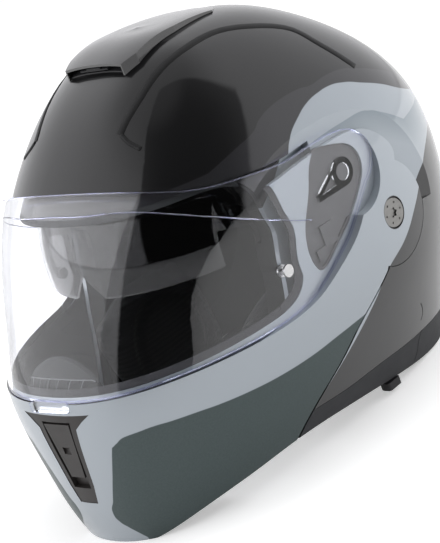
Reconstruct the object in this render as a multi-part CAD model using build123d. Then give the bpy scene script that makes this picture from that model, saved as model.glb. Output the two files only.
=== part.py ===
from build123d import *
from functools import cache
from math import copysign, cos, hypot, pi, radians, sin, sqrt
import os

# Modular motorcycle helmet, in millimetres, +Z up, face toward -Y, wearer's left on +X.
# It stands on the chin and on the rear rim, which lie in the plane z = 0.
# The construction frame has y = 0 at the widest section; write() moves it to the box centre.

# Driving sizes of the whole form
height = 270.0
half_width = 116.5
front_reach = 172.0
rear_reach = 164.0
half_length = (front_reach + rear_reach) / 2
centre_shift = (front_reach - rear_reach) / 2
fullness = 2.45
ring_points = 16
overrun = 60.0
fit_gap = 0.3
running_gap = 0.5

# Section tables, as shares of the driving sizes, from below the rim to the crown
level_shares = (-0.056, 0.0, 0.093, 0.222, 0.352, 0.481, 0.611, 0.741, 0.852, 0.930, 0.968, 0.982)
width_shares = (0.618, 0.678, 0.781, 0.901, 0.983, 1.0, 0.966, 0.858, 0.682, 0.502, 0.348, 0.112)
rear_shares = (0.780, 0.811, 0.841, 0.909, 0.970, 1.0, 0.976, 0.854, 0.665, 0.470, 0.305, 0.073)
face_front_shares = (0.959, 0.971, 0.994, 1.0, 0.988, 0.907, 0.802, 0.663, 0.500, 0.337, 0.215, 0.058)
shell_front_shares = (0.959, 0.971, 0.994, 1.0, 0.965, 0.866, 0.762, 0.628, 0.475, 0.315, 0.185, 0.050)
crown_share = 0.985
widest_share = 0.481
deepest_share = 0.222

# Outer shell and the pocket that the chin bar swings in
shell_wall = 3.5
pocket_floor = 104.5
front_floor = 97.5
pocket_depth = 9.0
brow_step = 0.5
front_floor_y = 5.0
seam_gap = 2.0
pocket_tail_angle = 12.0
pocket_top = 205.0
sweep_tip = 126.5
sweep_slope = 0.307
sweep_top = 150.0

# Chin bar
chin_wall = 3.5
arm_inner = pocket_floor + running_gap
arm_radius = 33.0
arm_hollow_radius = 74.0
arm_sweep_radius = 110.0
gasket_sweep_radius = 105.5
chin_pivot_y = 43.0
chin_pivot_z = 116.0
gasket_width = 4.5
gasket_depth = 0.8

# Visor
visor_thickness = 2.2
visor_side = 111.5
visor_side_margin = 1.0
visor_pivot_y = 19.0
visor_pivot_z = 156.0
visor_gap = 0.6
visor_edge_gap = 0.9
visor_lobe_radius = 28.4
visor_rear_reach = 400.0

# Visor edge and the small parts on it
visor_tab_z = 96.5
visor_tab_height = 6.0
visor_tab_width = 32.0
visor_tab_thickness = 3.6
hinge_ring_radius = 9.0
hinge_height = 1.8
hinge_reach = 26.0
hinge_drop = 8.0
hinge_web = 2.0
hub_radius = 5.2
pin_y = -51.0
pin_z = 125.0
pin_stem_radius = 1.8
pin_cap_radius = 3.9
pin_cap_thickness = 1.2
pin_cap_x = 110.2
pin_inner_x = 104.9

# Visor mechanism plate
pod_floor = 106.2
pod_wall = 0.9
pod_rim_x = 108.5
pod_rim_width = 2.0

# Hinge parts
screw_seat = 112.0
screw_head_radius = 9.5
screw_head_thickness = 1.8
screw_shank_radius = 4.0
dimple_circle = 6.5
dimple_radius = 0.7
dimple_depth = 0.5
socket_radius = 2.4
socket_depth = 1.2
bush_radius = 6.5
shaft_gap = 0.05
pivot_plate_thickness = 3.0
pivot_plate_radius = 15.0

# Chin bar details
lip_overlap = 4.0
lip_wall = 6.5
gasket_back = 8.8
frame_depth = 6.0
slider_top_z = 85.0
slider_low_z = 48.0
slider_top_half = 12.0
slider_low_half = 6.5
slider_side_gap = 1.4
slider_travel = 6.0
slider_depth = 4.2
slider_inset = 1.0
slider_relief = 2.6
port_z = 65.0
port_width = 12.0
port_height = 8.0
chin_liner_depth = 18.0
chin_liner_low = 20.0
chin_liner_high = 88.0
chin_liner_half = 60.0
chin_liner_front = -112.0
deflector_thickness = 2.5
deflector_half = 38.0
deflector_height = 31.0
curtain_depth = 30.0
curtain_low = 12.5
curtain_thickness = 2.5

# Chin bar latch
striker_y = -86.0
striker_z = 36.0
striker_radius = 2.5
striker_inner = 70.0
striker_plate = 3.8
striker_outer = 78.8
striker_boss_y = -71.5
striker_boss_radius = 3.0
striker_seat = 78.0
striker_back_y = -66.0
striker_back_height = 6.0
striker_ear_share = 1.5
hook_y = -100.0
hook_z = 52.0
hook_radius = 5.0
hook_pin_radius = 2.2
bracket_outer = 92.0
hook_path_radius = hypot(striker_y - chin_pivot_y, striker_z - chin_pivot_z)
button_y = -158.0
button_z = 7.2
button_width = 26.0
button_depth = 6.0
button_height = 4.5
button_proud = 1.0
housing_width = 38.0
housing_depth = 12.0
housing_height = 8.0
housing_wall = 1.2

# Liner, pads and rim
cavity_half = 78.0
liner_depth = 22.0
liner_bottom = 34.0
liner_split = 160.0
pad_thickness = 7.0
pad_tilt = -18.0
pad_bottom = 196.0
crown_channel_x = 28.0
crown_channel_y = 5.0
channel_width = 3.0
channel_depth = 3.0
cheek_corner = 12.0
cheek_depth = 24.0
cheek_channel_pitch = 15.0
neck_radius = 71.0
neck_roll_radius = 11.0
neck_stretch = 1.55
neck_height = 22.7
neck_front_y = 50.0
trim_gap = 0.3
brow_gasket_drop = 3.5
brow_gasket_depth = 4.0

# Vents on the shell
hood_rise = 1.0
hood_lift_angle = 4.0
hood_wall = 1.5
hood_mouth_width = 52.0
base_wall = 0.8
base_rear_y = 14.0
vent_port_y = -30.5
vent_port_width = 20.0
vent_port_length = 7.0
shutter_width = 26.0
shutter_length = 10.0
shutter_thickness = 1.0
shutter_tab = 1.6
shutter_y = -39.0
shutter_z = 261.6
shutter_tilt = 16.7
rear_vent_corner = 4.0
rear_vent_rise = 2.5
rear_slot_pitch = 26.0
rear_slot_width = 18.0
rear_slot_height = 4.0
rear_slot_z = 52.0

# Sun visor
sun_radius = 106.0
sun_thickness = 2.0
sun_pivot_y = -6.0
sun_pivot_z = 140.0
sun_half_width = 82.0
sun_top_angle = 143.0
sun_bottom_angle = 181.0
sun_travel = 36.0
sun_slot_gap = 1.2
sun_end_gap = 3.0
sun_arm_thickness = 2.0
sun_arm_spread = 19.0
sun_hub_radius = 9.0
sun_hub_length = 5.0
sun_axle_radius = 3.0
nose_width = 16.0
nose_height = 18.0
knob_x = 80.5
knob_y = 22.0
knob_z = 5.8
knob_width = 7.0
knob_length = 12.0
knob_height = 5.0
stem_x = 77.3
stem_width = 2.2
stem_height = 18.0

# Strap and buckle
strap_y = 38.0
strap_width = 18.0
strap_thickness = 1.6
strap_bend = 5.0
strap_top_x = 78.0
strap_top_z = 30.0
strap_turn_x = 73.0
strap_turn_z = 16.0
strap_knee_x = 50.0
strap_z = 10.0
anchor_x = 82.0
anchor_z = 29.0
anchor_reach = 3.0
anchor_height = 10.0
buckle_start_x = -10.0
buckle_end_x = 24.0
buckle_width = 24.0
buckle_wall = 1.6
buckle_height = 7.0
lever_pin_x = 20.0
lever_pin_z = 13.0
lever_pin_radius = 1.2
lever_thickness = 2.8
tongue_start_x = -34.0
tongue_end_x = 14.0
tongue_width = 14.0
tongue_pitch = 3.0
tongue_teeth = 8


def at(y_share, z_share):
    """A point of a side outline, from shares of the half length and the height."""
    return (y_share * half_length, z_share * height)


def ring(front, rear, side, z):
    """One closed horizontal section of the form, starting at the rear."""
    points = []
    for step in range(ring_points):
        angle = 2 * pi * step / ring_points
        across = sin(angle)
        along = cos(angle)
        reach = rear if along > 0 else front
        x = side * copysign(abs(across) ** (2 / fullness), across)
        y = reach * copysign(abs(along) ** (2 / fullness), along)
        points.append((x, y, z))
    return Face(Wire([Edge.make_spline(points, periodic=True)]))


def inset_size(share, size, inset, above):
    """A section size with the wall taken off, tapering to nothing at the crown."""
    if above:
        return share * (size - inset)
    return share * size - inset


@cache
def form(front_shares, inset, front_inset=None, side_inset=None):
    """The rounded body of the helmet, moved inward by an inset."""
    front_inset = inset if front_inset is None else front_inset
    side_inset = inset if side_inset is None else side_inset
    sections = []
    for index, level in enumerate(level_shares):
        above = level > deepest_share
        front = inset_size(front_shares[index], front_reach, front_inset, above)
        rear = inset_size(rear_shares[index], rear_reach, inset, level > widest_share)
        side = inset_size(width_shares[index], half_width, side_inset, level > widest_share)
        sections.append(ring(front, rear, side, level * (height - inset)))
    return loft(sections + [Vertex(0, 0, crown_share * (height - inset))])


def prism(outline, reach=None):
    """A side outline extruded across the whole width."""
    reach = half_width + overrun if reach is None else reach
    return extrude(Plane.YZ * outline, amount=reach, both=True)


def plate(outline, inner, outer):
    """A side outline as a plate on the wearer's left, between two distances from the middle."""
    return extrude(Plane.YZ.offset(inner) * outline, amount=outer - inner)


def other_side(shape):
    return mirror(shape, about=Plane.YZ)


def both_sides(shape):
    return shape + other_side(shape)


def slab(half):
    """Everything within a distance of the middle plane."""
    return Box(2 * half, 4 * half_length, 4 * height)


def side_disc(radius, y, z):
    return Pos(y, z) * Circle(radius)


def side_cylinder(radius, inner, outer, y, z):
    return plate(side_disc(radius, y, z), inner, outer)


def polygon(points):
    return make_face(Polyline(*points, close=True))


def largest(shape):
    """The main solid, without the offcuts that lie apart from it."""
    return max(shape.solids(), key=lambda solid: solid.volume)


def write(name, shape):
    moved = Pos(0, centre_shift, 0) * shape
    solids = moved.solids()
    moved = solids[0] if len(solids) == 1 else Compound(children=list(solids))
    export_step(moved, f"parts/{name}.step")
    box = moved.bounding_box()
    print(name, len(solids), round(sum(s.volume for s in solids)), tuple(box.min), tuple(box.max))


# Side outlines, as shares of the half length and the height
seam_shares = ((-0.417, 0.070), (-0.351, 0.111), (-0.274, 0.148), (-0.161, 0.196),
               (-0.077, 0.237), (0.030, 0.278), (0.137, 0.319))
visor_low_shares = ((-1.2, 0.359), (-0.863, 0.366), (-0.607, 0.363), (-0.339, 0.363), (-0.226, 0.374),
                    (-0.131, 0.396), (-0.048, 0.419), (0.030, 0.444), (0.107, 0.481), (0.202, 0.530))
visor_lobe_shares = ((0.202, 0.530), (0.256, 0.559), (0.274, 0.593), (0.256, 0.626), (0.214, 0.652),
                     (0.149, 0.667), (0.065, 0.674), (-0.042, 0.676))
visor_top_shares = ((-0.042, 0.676), (-0.155, 0.678), (-0.304, 0.693), (-0.458, 0.711), (-0.577, 0.744),
                    (-0.643, 0.767), (-0.74, 0.79), (-1.2, 0.85))
window_low_shares = ((-1.3, 0.389), (-1.1, 0.389), (-0.9, 0.389), (-0.75, 0.389), (-0.595, 0.390),
                     (-0.45, 0.392), (-0.357, 0.398), (-0.298, 0.413), (-0.256, 0.444))
window_rear_shares = ((-0.256, 0.444), (-0.238, 0.504), (-0.226, 0.541), (-0.238, 0.574), (-0.250, 0.630),
                      (-0.286, 0.678))
window_top_shares = ((-0.286, 0.678), (-0.357, 0.696), (-0.506, 0.704), (-0.655, 0.707), (-1.3, 0.707))
shell_edge_shares = ((-0.52, -0.1), (-0.548, 0.037), (-0.5, 0.111), (-0.393, 0.222), (-0.298, 0.352),
                     (-0.256, 0.444))
arm_top_shares = ((0.360, 0.525), (0.387, 0.556), (0.345, 0.604), (0.274, 0.637), (0.137, 0.653),
                  (-0.03, 0.654), (-0.143, 0.651), (-0.3, 0.648))
rim_shares = ((-0.94, 0.0), (-0.79, 0.037), (-0.60, 0.059), (-0.43, 0.070), (-0.131, 0.059),
              (0.155, 0.033), (0.375, 0.011), (0.536, 0.0))
trim_line_shares = ((-0.45, 0.117), (-0.298, 0.115), (-0.137, 0.107), (0.042, 0.104), (0.214, 0.096),
                    (0.399, 0.089), (0.7, 0.074), (1.1, 0.067))

pod_shares = ((0.036, 0.659), (0.131, 0.641), (0.208, 0.607), (0.214, 0.560), (0.167, 0.522), (0.060, 0.470),
              (-0.060, 0.430), (-0.149, 0.415), (-0.167, 0.440), (-0.143, 0.522), (-0.070, 0.585), (-0.024, 0.635))
pod_block_shares = ((-0.048, 0.474, 0.070, 0.050), (-0.110, 0.442, 0.050, 0.026))
vent_shares = ((0.266, 0.337), (0.206, 0.322), (0.150, 0.304), (0.120, 0.222), (0.099, 0.159), (0.069, 0.111))
cheek_shares = ((-0.43, 0.34), (-0.20, 0.39), (0.083, 0.385), (0.143, 0.126), (-0.095, 0.067), (-0.37, 0.089))
cheek_profile_shares = ((0.0, 0.97), (0.45, 1.0), (0.8, 0.93), (1.0, 0.74))
hood_shares = ((0.232, -0.262), (0.275, -0.202), (0.283, 0.0), (0.266, 0.214), (0.206, 0.262))
rear_vent_shares = ((0.395, 0.237), (0.430, 0.185), (0.343, 0.148))


def points_of(shares, shift_y=0.0, shift_z=0.0):
    return [(y * half_length + shift_y, z * height + shift_z) for y, z in shares]


def seam_outline(gap):
    """The region in front of the seam, up to the pivot, moved rearward by a gap."""
    seam = points_of(seam_shares, gap)
    first_y = seam[0][0]
    base = -height / 2
    top = 2 * height
    front = -2 * half_length
    curve = Spline(*seam)
    corner_y, corner_z = seam[-1]
    rest = Polyline((corner_y, corner_z), (chin_pivot_y, chin_pivot_z), (chin_pivot_y, top),
                    (front, top), (front, base), (first_y - (seam[0][1] - base) / 2, base), seam[0])
    return make_face(curve.edges() + rest.edges())


def window_outline(grow=0.0):
    low = Spline(*points_of(window_low_shares, grow, -grow))
    rear = Spline(*points_of(window_rear_shares, grow, 0.0))
    top = Spline(*points_of(window_top_shares, grow, grow))
    edges = low.edges() + rear.edges() + top.edges() + Line(top @ 1, low @ 0).edges()
    if grow:
        edges = edges + Line(low @ 1, rear @ 0).edges() + Line(rear @ 1, top @ 0).edges()
    return make_face(edges)


def visor_outline(grow=0.0):
    low = Spline(*points_of(visor_low_shares, 0.0, -grow))
    lobe_points = []
    for y, z in points_of(visor_lobe_shares):
        away = hypot(y - visor_pivot_y, z - visor_pivot_z)
        factor = 1 + grow / away
        lobe_points.append((visor_pivot_y + factor * (y - visor_pivot_y),
                            visor_pivot_z + factor * (z - visor_pivot_z)))
    lobe = Spline(*lobe_points)
    top = Spline(*points_of(visor_top_shares, 0.0, grow))
    parts = low.edges() + lobe.edges() + top.edges()
    parts = parts + Line(top @ 1, low @ 0).edges()
    if grow:
        parts = parts + Line(low @ 1, lobe @ 0).edges() + Line(lobe @ 1, top @ 0).edges()
    return make_face(parts)


def visor_form(inset):
    """The visor's own form, with flat sides square to its hinge axis."""
    levels = level_shares[3:9]
    fronts = face_front_shares[3:9]
    side = visor_side + visor_side_margin
    side_shares = (1.0, 1.0, 1.0, 1.015, 0.955, 0.82)
    sections = []
    for level, share, side_share in zip(levels, fronts, side_shares):
        sections.append(ring(share * front_reach - inset, visor_rear_reach, side_share * side - inset,
                             level * height))
    return loft(sections) & slab(visor_side - inset)


def rim_cut(lift=0.0):
    """Everything under the lower rim."""
    rim = points_of(rim_shares, 0.0, lift)
    low = -height
    far = 2 * half_length
    arch = Spline(*rim)
    rest = Polyline(rim[-1], (far, lift), (far, low), (-far, low), (-far, lift), rim[0])
    return prism(make_face(arch.edges() + rest.edges()))


def pocket_all(grow=0.0):
    """Where the pivoting arms need a flat floor, behind and above the seam."""
    outline = seam_outline(seam_gap + grow) + side_disc(arm_radius + running_gap + grow, chin_pivot_y, chin_pivot_z)
    far = 2 * half_length
    drop = (far - chin_pivot_y) * sin(radians(pocket_tail_angle))
    tail = polygon([(chin_pivot_y, chin_pivot_z - grow), (far, chin_pivot_z - grow - drop), (far, pocket_top),
                    (chin_pivot_y, pocket_top)])
    return outline + tail


def pocket_front(grow=0.0):
    """Where the shell is drawn in under the chin bar and the visor."""
    far = 2 * half_length
    keep_front = polygon([(front_floor_y + grow, -height), (front_floor_y + grow, 2 * height), (-far, 2 * height),
                          (-far, -height)])
    under_visor = make_face(Spline(*points_of(visor_top_shares, 0.0, visor_edge_gap + grow)).edges()
                            + Polyline(points_of(visor_top_shares, 0.0, visor_edge_gap + grow)[-1],
                                       (-far, -height), (far, -height),
                                       (far, points_of(visor_top_shares, 0.0, visor_edge_gap + grow)[0][1]),
                                       points_of(visor_top_shares, 0.0, visor_edge_gap + grow)[0]).edges())
    return (seam_outline(seam_gap + grow) & keep_front) & under_visor


def sweep_room(depth):
    """What the chin bar's sides leave free as they turn about the hinge, moved inward by a depth."""
    tip = sweep_tip - depth
    cone = Cone(tip / sweep_slope, 0, tip, align=(Align.CENTER, Align.CENTER, Align.MIN))
    side = Pos(0, chin_pivot_y, chin_pivot_z) * Rot(0, 90, 0) * cone
    return both_sides(side) + Pos(0, 0, sweep_top + height) * Box(4 * half_width, 4 * half_length, 2 * height)


def drawn_in(depth):
    """The narrower form under the visor, moved inward by a depth."""
    core = form(shell_front_shares, pocket_depth + depth, front_inset=brow_step + depth)
    return core & slab(front_floor - depth) & sweep_room(depth)


@cache
def shell_envelope(depth):
    """The solid bounded by the shell's outer face, moved inward by a depth."""
    body = form(shell_front_shares, depth)
    body = body - both_sides(plate(pocket_all(depth), pocket_floor - depth, half_width + overrun))
    return body - (prism(pocket_front(depth)) - drawn_in(depth))


def shell_front_cut():
    """What the shell leaves open in front: the eye port and the chin bar's place."""
    low = Spline(*points_of(shell_edge_shares))
    rear = Spline(*points_of(window_rear_shares))
    top = Spline(*points_of(window_top_shares))
    base = -height / 2
    rest = Polyline(top @ 1, (-2 * half_length, base), low @ 0)
    return make_face(low.edges() + rear.edges() + top.edges() + rest.edges())


def front_prism(outline, near, far):
    """A front outline, in X and Z, extruded between two distances ahead of the widest section."""
    return extrude(Plane.XZ.offset(near) * outline, amount=far - near)


def pod_face(grow=0.0):
    points = points_of(pod_shares)
    middle_y = sum(y for y, z in points) / len(points)
    middle_z = sum(z for y, z in points) / len(points)
    grown = []
    for y, z in points:
        factor = 1 + grow / hypot(y - middle_y, z - middle_z)
        grown.append((middle_y + factor * (y - middle_y), middle_z + factor * (z - middle_z)))
    return make_face(Spline(*grown, periodic=True).edges())


def trim_region(lift=0.0):
    """Everything under the line where the rim trim starts."""
    line = points_of(trim_line_shares, 0.0, lift)
    curve = Spline(*line)
    far = 2 * half_length
    rest = Polyline(line[-1], (far, line[-1][1]), (far, -height), (-far, -height), (-far, line[0][1]), line[0])
    return prism(make_face(curve.edges() + rest.edges()))


def arm_region():
    """The chin bar's side outline, with the arm that reaches round the pivot."""
    seam = points_of(seam_shares)
    top = points_of(arm_top_shares)
    base = -height / 2
    far = 2 * half_length
    edges = Spline(*seam).edges()
    edges = edges + Polyline(seam[-1], (chin_pivot_y, chin_pivot_z), top[0]).edges()
    edges = edges + Spline(*top).edges()
    edges = edges + Polyline(top[-1], (-far, top[-1][1]), (-far, base),
                             (seam[0][0] - (seam[0][1] - base) / 2, base), seam[0]).edges()
    return make_face(edges) + side_disc(arm_radius, chin_pivot_y, chin_pivot_z)


def pivot_bore(radius, inner, outer):
    return both_sides(side_cylinder(radius, inner, outer, chin_pivot_y, chin_pivot_z))


def sun_sphere(radius):
    return Pos(0, sun_pivot_y, sun_pivot_z) * Sphere(radius)


def sun_wedge(start, end, reach, width):
    """A sector about the sun visor's axis, angles counted up from the rear."""
    points = [(sun_pivot_y, sun_pivot_z)]
    steps = 6
    for step in range(steps + 1):
        angle = radians(start + (end - start) * step / steps)
        points.append((sun_pivot_y + reach * cos(angle), sun_pivot_z + reach * sin(angle)))
    return extrude(Plane.YZ * polygon(points), amount=width, both=True)


def make_shell_band():
    band = shell_envelope(0.0) - shell_envelope(shell_wall)
    return band - prism(shell_front_cut())


def crown_port():
    return Pos(0, vent_port_y, height) * Box(vent_port_width, vent_port_length, height / 2)


def make_shell(band):
    body = band - trim_region(trim_gap)
    body = body - pivot_bore(screw_shank_radius + fit_gap, half_width / 2, half_width + overrun)
    return body - crown_port()


def make_edge_trim(band):
    return (band & trim_region()) - rim_cut()


def make_liner():
    body = shell_envelope(shell_wall + fit_gap)
    body = body - (form(shell_front_shares, shell_wall + liner_depth) & slab(cavity_half))
    body = body - prism(shell_front_cut())
    body = body - Pos(0, 0, liner_bottom - height) * Box(4 * half_width, 4 * half_length, 2 * height)
    slot = sun_sphere(sun_radius + sun_slot_gap) - sun_sphere(sun_radius - sun_thickness - sun_slot_gap)
    slot = slot & sun_wedge(sun_top_angle - sun_travel - sun_end_gap, sun_bottom_angle + sun_end_gap,
                            2 * sun_radius, sun_half_width + sun_slot_gap)
    body = body - slot
    arm_slot = sun_wedge(sun_top_angle - sun_travel - sun_end_gap, sun_bottom_angle + sun_end_gap, sun_radius,
                         sun_half_width + sun_slot_gap)
    arm_slot = arm_slot - slab(sun_half_width - sun_arm_thickness - sun_slot_gap)
    body = body - arm_slot
    body = body - both_sides(side_cylinder(sun_hub_radius + sun_slot_gap, sun_half_width - sun_hub_length,
                                           half_width, sun_pivot_y, sun_pivot_z))
    body = body - both_sides(plate(striker_face(fit_gap), striker_inner - fit_gap, half_width))
    body = body - pivot_bore(pivot_plate_radius + fit_gap,
                             pocket_floor - shell_wall - pivot_plate_thickness - 2 * fit_gap, half_width)
    return largest(body - crown_port())


def liner_parts():
    """The liner as a crown part and a part for each side, a fit gap apart."""
    body = make_liner()
    low = liner_split - height - fit_gap / 2
    side = Pos(half_width + fit_gap / 2, 0, low) * Box(2 * half_width, 4 * half_length, 2 * height)
    crown = Pos(0, 0, liner_split + height + fit_gap / 2) * Box(4 * half_width, 4 * half_length, 2 * height)
    return {"crown": largest(body & crown), "left": largest(body & side), "right": largest(body & other_side(side))}


def make_crown_pad():
    outside = shell_wall + liner_depth + fit_gap
    pad = form(shell_front_shares, outside) - form(shell_front_shares, outside + pad_thickness)
    pad = pad & slab(cavity_half - fit_gap)
    pad = pad - Rot(pad_tilt, 0, 0) * Pos(0, 0, pad_bottom - height) * Box(4 * half_width, 4 * half_length, 2 * height)
    channels = []
    for place in (-1, 1):
        channels.append(Pos(place * crown_channel_x, 0, height / 2) * Box(channel_width, 2 * half_length, height))
    channels.append(Pos(0, crown_channel_y, height / 2) * Box(2 * crown_channel_x, channel_width, height))
    inside = form(shell_front_shares, outside + pad_thickness - channel_depth)
    for channel in channels:
        pad = pad - (channel & inside)
    return pad


def make_cheek_pad():
    points = points_of(cheek_shares)
    outline = fillet(polygon(points).vertices(), cheek_corner)
    middle_y = sum(y for y, z in points) / len(points)
    middle_z = sum(z for y, z in points) / len(points)
    centred = Pos(-middle_y, -middle_z) * outline
    outer = cavity_half - fit_gap
    sections = []
    for depth_share, size_share in cheek_profile_shares:
        face = Pos(middle_y, middle_z) * scale(centred, by=size_share)
        sections.append(Plane.YZ.offset(outer - depth_share * cheek_depth) * face)
    pad = loft(sections)
    pad = pad & form(shell_front_shares, shell_wall + liner_depth + fit_gap)
    for share in (-1, 1):
        groove = Pos(outer - cheek_depth, middle_y + share * cheek_channel_pitch, middle_z)
        pad = pad - groove * Box(2 * channel_depth, channel_width, height)
    return pad


def make_neck_roll():
    roll = scale(Torus(neck_radius, neck_roll_radius), by=(1, neck_stretch, 1))
    roll = Pos(0, 0, neck_height) * roll
    return roll & Pos(0, half_length + neck_front_y, 0) * Box(4 * half_width, 2 * half_length, 2 * height)


def make_brow_gasket():
    """The seal under the shell's upper edge, which the visor closes on."""
    top = Spline(*points_of(window_top_shares, 0.0, -fit_gap / 2))
    low = Spline(*points_of(window_top_shares, 0.0, -brow_gasket_drop))
    ends = Line(top @ 0, low @ 0).edges() + Line(top @ 1, low @ 1).edges()
    strip = prism(make_face(top.edges() + low.edges() + ends))
    return strip & (drawn_in(fit_gap) - drawn_in(brow_gasket_depth))


def hood_outline(grow=0.0):
    points = []
    for x_share, y_share in hood_shares:
        points.append((x_share * half_width, y_share * half_length))
    left = [(-x, y) for x, y in reversed(points)]
    return offset(polygon(points + left), grow) if grow else polygon(points + left)


def lifted(shape):
    """The hood's skins are raised in front, about its rear edge."""
    rear_y = hood_shares[-1][1] * half_length
    return Pos(0, rear_y, height) * Rot(-hood_lift_angle, 0, 0) * Pos(0, -rear_y, -height) * shape


def crown_only(shape):
    return shape & Pos(0, 0, height) * Box(4 * half_width, 4 * half_length, height)


def make_hood():
    column = crown_only(extrude(hood_outline(), amount=2 * height))
    hollow = crown_only(extrude(hood_outline(-hood_wall), amount=2 * height))
    front_y = hood_shares[0][1] * half_length
    hollow = hollow + Pos(0, front_y, height) * Box(hood_mouth_width, 3 * hood_wall, height)
    outside = lifted(form(shell_front_shares, -hood_rise))
    inside = lifted(form(shell_front_shares, -hood_rise + hood_wall))
    block = (column & outside) - form(shell_front_shares, -fit_gap)
    return block - (hollow & inside)


def make_hood_base():
    column = crown_only(extrude(hood_outline(-hood_wall - fit_gap), amount=2 * height))
    column = column & Pos(0, base_rear_y - half_length, height) * Box(2 * half_width, 2 * half_length, height)
    body = (column - crown_port()) & form(shell_front_shares, -fit_gap - base_wall)
    return body - form(shell_front_shares, -fit_gap)


def make_vent_shutter():
    """The plate under the hood that closes the crown port when it is pushed back."""
    tab_height = 3 * shutter_thickness / 2
    tab = Pos(0, (shutter_tab - shutter_length) / 2, tab_height / 2) * Box(shutter_width / 2, shutter_tab, tab_height)
    shutter = Box(shutter_width, shutter_length, shutter_thickness) + tab
    return Pos(0, shutter_y, shutter_z) * Rot(shutter_tilt, 0, 0) * shutter


def make_rear_vent():
    points = []
    for x_share, z_share in rear_vent_shares:
        points.append((x_share * half_width, z_share * height))
    left = [(-x, z) for x, z in reversed(points)]
    outline = fillet(polygon(points + left).vertices(), rear_vent_corner)
    column = front_prism(outline, -2 * half_length, 0)
    body = column & (form(shell_front_shares, -rear_vent_rise) - form(shell_front_shares, -fit_gap))
    for place in (-1, 0, 1):
        slot = Pos(place * rear_slot_pitch, half_length, rear_slot_z)
        body = body - slot * Box(rear_slot_width, 2 * half_length, rear_slot_height)
    return body


def make_pivot_plate():
    face_x = pocket_floor - shell_wall - fit_gap / 2
    disc = side_cylinder(pivot_plate_radius, face_x - pivot_plate_thickness, face_x, chin_pivot_y, chin_pivot_z)
    hole = side_cylinder(screw_shank_radius, 0, half_width, chin_pivot_y, chin_pivot_z)
    return disc - hole


def make_pivot_screw():
    head = side_cylinder(screw_head_radius, screw_seat, screw_seat + screw_head_thickness, chin_pivot_y, chin_pivot_z)
    head = chamfer(head.edges().sort_by(Axis.X)[-1:], screw_head_thickness / 4)
    start = pocket_floor - shell_wall - pivot_plate_thickness
    shank = side_cylinder(screw_shank_radius, start, screw_seat, chin_pivot_y, chin_pivot_z)
    screw = head + shank
    outer = screw_seat + screw_head_thickness
    for step in range(6):
        angle = radians(60 * step)
        y = chin_pivot_y + socket_radius * cos(angle)
        z = chin_pivot_z + socket_radius * sin(angle)
        screw = screw - side_cylinder(socket_radius / 3, outer - socket_depth, outer + overrun, y, z)
        dimple_y = chin_pivot_y + dimple_circle * cos(angle)
        dimple_z = chin_pivot_z + dimple_circle * sin(angle)
        screw = screw - side_cylinder(dimple_radius, outer - dimple_depth, outer + overrun, dimple_y, dimple_z)
    socket = side_cylinder(socket_radius, outer - socket_depth, outer + overrun, chin_pivot_y, chin_pivot_z)
    return screw - socket


def make_bush():
    sleeve = side_cylinder(bush_radius, arm_inner, screw_seat - fit_gap, chin_pivot_y, chin_pivot_z)
    return sleeve - side_cylinder(screw_shank_radius + shaft_gap, 0, 2 * half_width, chin_pivot_y, chin_pivot_z)


def make_sun_visor():
    lens = sun_sphere(sun_radius) - sun_sphere(sun_radius - sun_thickness)
    lens = lens & sun_wedge(sun_top_angle, sun_bottom_angle, 2 * sun_radius, sun_half_width)
    nose = polygon([(-nose_width, 0), (0, nose_height), (nose_width, 0)])
    low_z = sun_pivot_z + sun_radius * sin(radians(sun_bottom_angle))
    lens = lens - front_prism(Pos(0, low_z - sun_thickness) * nose, 0, 2 * half_length)
    arm = sun_wedge(sun_top_angle + sun_end_gap, sun_top_angle + sun_arm_spread, sqrt(sun_radius**2 - sun_half_width**2)
                    + sun_thickness, sun_half_width)
    arm = arm - slab(sun_half_width - sun_arm_thickness)
    arm = arm & sun_sphere(sun_radius)
    hub = both_sides(side_cylinder(sun_hub_radius, sun_half_width - sun_arm_thickness, sun_half_width, sun_pivot_y,
                                   sun_pivot_z))
    visor = lens + arm + hub
    bore = both_sides(side_cylinder(sun_axle_radius + shaft_gap, 0, half_width, sun_pivot_y, sun_pivot_z))
    return visor - bore


def make_sun_axles():
    start = sun_half_width - sun_hub_length
    end = front_floor - shell_wall
    return both_sides(side_cylinder(sun_axle_radius, start, end, sun_pivot_y, sun_pivot_z))


def arm_hollow(radius, inner=arm_inner):
    """The room between the two arms, as far out as a radius about the hinge."""
    return prism(side_disc(radius, chin_pivot_y, chin_pivot_z)) & slab(inner)


def above_pivot():
    return Pos(0, 0, chin_pivot_z + height) * Box(4 * half_width, 4 * half_length, 2 * height)


def make_chin_shell(face):
    recess = visor_outline(visor_edge_gap) + side_disc(visor_lobe_radius, visor_pivot_y, visor_pivot_z)
    body = face - (prism(recess) - visor_form(visor_thickness + visor_gap))
    void = form(face_front_shares, chin_wall) & slab(arm_inner)
    lip = prism(visor_outline(lip_overlap)) - form(face_front_shares, lip_wall)
    body = body - (void - lip)
    body = body - arm_hollow(arm_hollow_radius)
    body = body - (arm_hollow(arm_sweep_radius) & above_pivot())
    body = body & prism(arm_region())
    body = body - prism(window_outline(gasket_width)) - rim_cut()
    body = body - pivot_bore(bush_radius + shaft_gap, 0, half_width + overrun)
    body = body - pivot_bore(screw_head_radius + running_gap, screw_seat - fit_gap, half_width + overrun)
    body = body - both_sides(plate(pod_face(fit_gap), pod_floor - fit_gap / 2, half_width + overrun))
    body = body - front_prism(vent_outline(fit_gap), half_length / 2, 2 * half_length)
    notch = Pos(0, -front_reach, visor_tab_z) * Box(visor_tab_width + 2 * running_gap,
                                                    2 * (visor_tab_thickness + visor_gap),
                                                    visor_tab_height + 2 * running_gap)
    body = body - notch
    return largest(body)


def vent_outline(grow=0.0):
    points = []
    for x_share, z_share in vent_shares:
        points.append((x_share * half_width + grow, z_share * height))
    left = [(-x, z) for x, z in reversed(points)]
    return polygon(points + left)


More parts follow.
